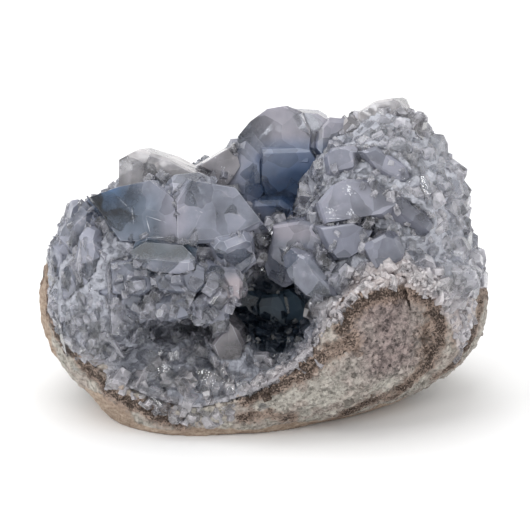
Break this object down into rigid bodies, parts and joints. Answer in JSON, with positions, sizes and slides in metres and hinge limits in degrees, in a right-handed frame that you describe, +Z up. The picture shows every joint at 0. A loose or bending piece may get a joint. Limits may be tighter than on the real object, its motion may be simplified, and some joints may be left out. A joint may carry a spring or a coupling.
{
  "type": "celestite crystal cluster",
  "caption": "Natural celestite cluster: blocky grey-blue crystals round a dark pocket, on a druse in a bowl of weathered brown rock with a flat foot.",
  "frame": {"origin": "On the ground under the middle of the whole cluster's box, at the height of the flat underside of the rock", "axes": "+X to the right of the open front, +Y from the front to the back, +Z up"},
  "size_m": [0.12, 0.0834, 0.0795],
  "materials": {
    "weathered_rock": "rough, earthy, speckled",
    "druse": "crust of small glittering crystals",
    "blue_crystal": "translucent grey-blue crystal, vitreous faces",
    "pale_crystal": "translucent grey-white crystal, vitreous faces"
  },
  "bodies": {
    "root": {"matrix_rock": "weathered_rock", "druse_lining": "druse", "blue_block_crystals": "blue_crystal", "centre_crystals": "blue_crystal", "back_wall_crystals": "blue_crystal", "left_bank_crystals": "blue_crystal", "left_flank_crystals": "blue_crystal", "right_bank_crystals": "blue_crystal", "cavity_crystals": "blue_crystal", "rear_bank_crystals": "blue_crystal", "pale_rear_crystals": "pale_crystal", "right_peak_crystals": "pale_crystal", "lip_point_crystal": "pale_crystal", "small_clear_crystal": "pale_crystal"}
  },
  "joints": []
}
